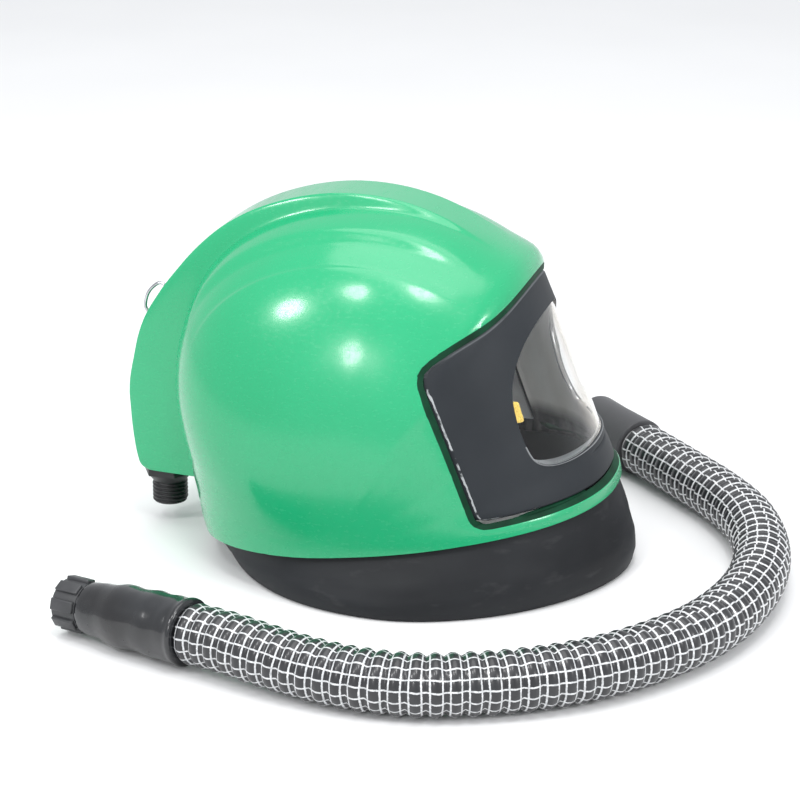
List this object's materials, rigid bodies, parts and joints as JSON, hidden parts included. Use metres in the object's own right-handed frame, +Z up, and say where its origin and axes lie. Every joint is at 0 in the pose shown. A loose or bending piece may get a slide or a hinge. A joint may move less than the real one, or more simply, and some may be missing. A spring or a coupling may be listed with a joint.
{
  "type": "sandblasting hood with breathing hose",
  "caption": "Moulded blasting hood with a raised air duct over the crown, a curved visor, a rubber neck skirt and a loose breathing hose that ends in a coupling nut and a cuff.",
  "frame": {"origin": "on the floor under the middle of the hood, measured without the loose hose and what is on it", "axes": "+Z up, the visor looks along -Y, +X is the wearer's left"},
  "size_m": [0.5369, 0.489, 0.2659],
  "materials": {
    "shell": "smooth moulded plastic, semi-gloss",
    "visor_frame": "matte moulded rubber",
    "visor_lens": "clear plastic pane with a light haze",
    "yellow_pad": "open foam",
    "inner_lining": "grey cloth",
    "neck_skirt": "matte moulded rubber",
    "inlet_fitting": "satin black",
    "rear_staple": "bright wire",
    "breathing_hose": "ribbed black tube under a clear skin with a pale thread net",
    "hose_sleeve": "glossy shrunk sleeve",
    "hose_connector": "satin black",
    "coupling_nut": "satin dark grey",
    "hose_cuff": "matte black"
  },
  "bodies": {
    "hood": {"shell": "shell", "visor_frame": "visor_frame", "visor_lens": "visor_lens", "yellow_pad": "yellow_pad", "inner_lining": "inner_lining", "neck_skirt": "neck_skirt", "inlet_fitting": "inlet_fitting", "rear_staple": "rear_staple", "breathing_hose": "breathing_hose", "hose_sleeve": "hose_sleeve", "hose_connector": "hose_connector", "hose_cuff": "hose_cuff"},
    "nut": {"coupling_nut": "coupling_nut"}
  },
  "joints": [
    {"name": "coupling_nut_swivel", "type": "hinge", "parent": "hood", "child": "nut", "pos_m": [-0.21146, 0.15043, 0.02109], "axis": [0.2961, 0.9549, -0.0234], "continuous": true}
  ]
}
